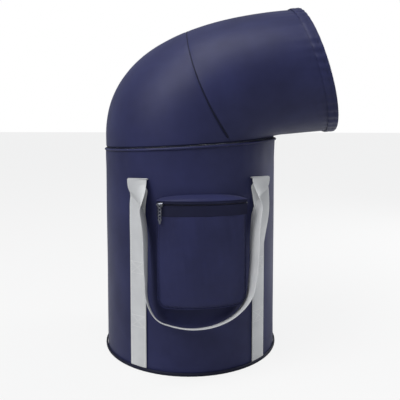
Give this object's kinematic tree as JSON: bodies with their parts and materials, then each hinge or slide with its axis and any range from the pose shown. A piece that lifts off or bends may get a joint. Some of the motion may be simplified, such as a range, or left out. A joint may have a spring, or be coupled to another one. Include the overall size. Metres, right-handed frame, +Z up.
{
  "type": "portable steam sauna",
  "caption": "Upright padded fabric barrel with an elbow-shaped hood and a wide mouth for the legs, zip pocket, webbing carrying handles and a capped steam inlet.",
  "frame": {"origin": "on the floor at the centre of the barrel's round base", "axes": "+Z up along the barrel's axis; +X the way the hood's mouth faces; the pocket and front handle face -Y, turned 11 degrees towards +X"},
  "size_m": [0.4852, 0.4416, 0.7086],
  "materials": {
    "shell_cloth": "coated woven cloth, satin",
    "binding": "folded binding",
    "zip_tape": "woven tape",
    "zip_coil": "nylon coil",
    "padding": "closed-cell foam sheet",
    "silver_lining": "metallised film on cloth",
    "board": "stiff board",
    "hoop_wire": "spring wire",
    "webbing": "woven webbing",
    "zip_metal": "dark plated metal",
    "port_plastic": "moulded",
    "port_rubber": "moulded soft rubber"
  },
  "bodies": {
    "barrel": {"barrel_shell": "shell_cloth", "barrel_padding": "padding", "barrel_lining": "silver_lining", "base_cloth": "shell_cloth", "base_board": "board", "floor_lining": "silver_lining", "base_piping": "binding", "base_hoop": "hoop_wire", "rim_hoop": "hoop_wire", "rim_lip": "shell_cloth", "rim_tape_lower": "zip_tape", "rim_coil_lower": "zip_coil", "hinge_gusset": "binding", "rim_stop_start": "zip_metal", "rim_stop_end": "zip_metal", "front_strap_left": "webbing", "front_strap_right": "webbing", "back_strap_left": "webbing", "back_strap_right": "webbing", "pocket_front": "shell_cloth", "pocket_gusset": "shell_cloth", "pocket_top": "shell_cloth", "pocket_tape_lower": "zip_tape", "pocket_tape_upper": "zip_tape", "pocket_coil": "zip_coil", "pocket_stop_left": "zip_metal", "pocket_stop_right": "zip_metal", "port_flange": "port_plastic", "port_seal": "port_rubber", "port_nut": "port_plastic", "port_diffuser": "port_plastic"},
    "hood": {"hood_rear_panel": "shell_cloth", "hood_front_panel": "shell_cloth", "hood_rear_padding": "padding", "hood_front_padding": "padding", "hood_rear_lining": "silver_lining", "hood_front_lining": "silver_lining", "hood_bow": "hoop_wire", "mouth_hoop": "hoop_wire", "hem_band": "shell_cloth", "rim_tape_upper": "zip_tape", "rim_coil_upper": "zip_coil"},
    "rim_slider": {"rim_slider": "zip_metal"},
    "rim_pull": {"rim_pull": "zip_metal"},
    "pocket_slider": {"pocket_slider": "zip_metal"},
    "pocket_pull": {"pocket_pull": "zip_metal"},
    "front_handle": {"front_handle": "webbing"},
    "back_handle": {"back_handle": "webbing"},
    "port_cap": {"port_cap": "port_rubber"}
  },
  "joints": [
    {"name": "hood_flip", "type": "hinge", "parent": "barrel", "child": "hood", "pos_m": [-0.18319, 0, 0.42084], "axis": [0, -1, 0], "range_deg": [0, 100]},
    {"name": "rim_zip", "type": "hinge", "parent": "barrel", "child": "rim_slider", "pos_m": [0, 0, 0.4315], "axis": [0.0581, 0, -0.9983], "range_deg": [0, 316]},
    {"name": "rim_pull_swing", "type": "hinge", "parent": "rim_slider", "child": "rim_pull", "pos_m": [-0.17222, 0.06944, 0.41897], "axis": [0.3725, 0.9278, 0.0217], "range_deg": [0, 85]},
    {"name": "pocket_zip", "type": "hinge", "parent": "barrel", "child": "pocket_slider", "pos_m": [0, 0, 0.3275], "axis": [0, 0, 1], "range_deg": [0, 44.8]},
    {"name": "pocket_pull_swing", "type": "hinge", "parent": "pocket_slider", "child": "pocket_pull", "pos_m": [-0.04085, -0.20191, 0.3275], "axis": [-0.9801, 0.1983, 0], "range_deg": [0, 120]},
    {"name": "front_handle_swing", "type": "hinge", "parent": "barrel", "child": "front_handle", "pos_m": [0.02888, -0.14858, 0.37], "axis": [-0.9816, -0.1908, 0], "range_deg": [0, 140]},
    {"name": "back_handle_swing", "type": "hinge", "parent": "barrel", "child": "back_handle", "pos_m": [-0.02888, 0.14858, 0.37], "axis": [0.9816, 0.1908, 0], "range_deg": [0, 140]},
    {"name": "port_cap_pull", "type": "slide", "parent": "barrel", "child": "port_cap", "axis": [-0.1908, 0.9816, 0], "range_m": [0, 0.03]}
  ]
}
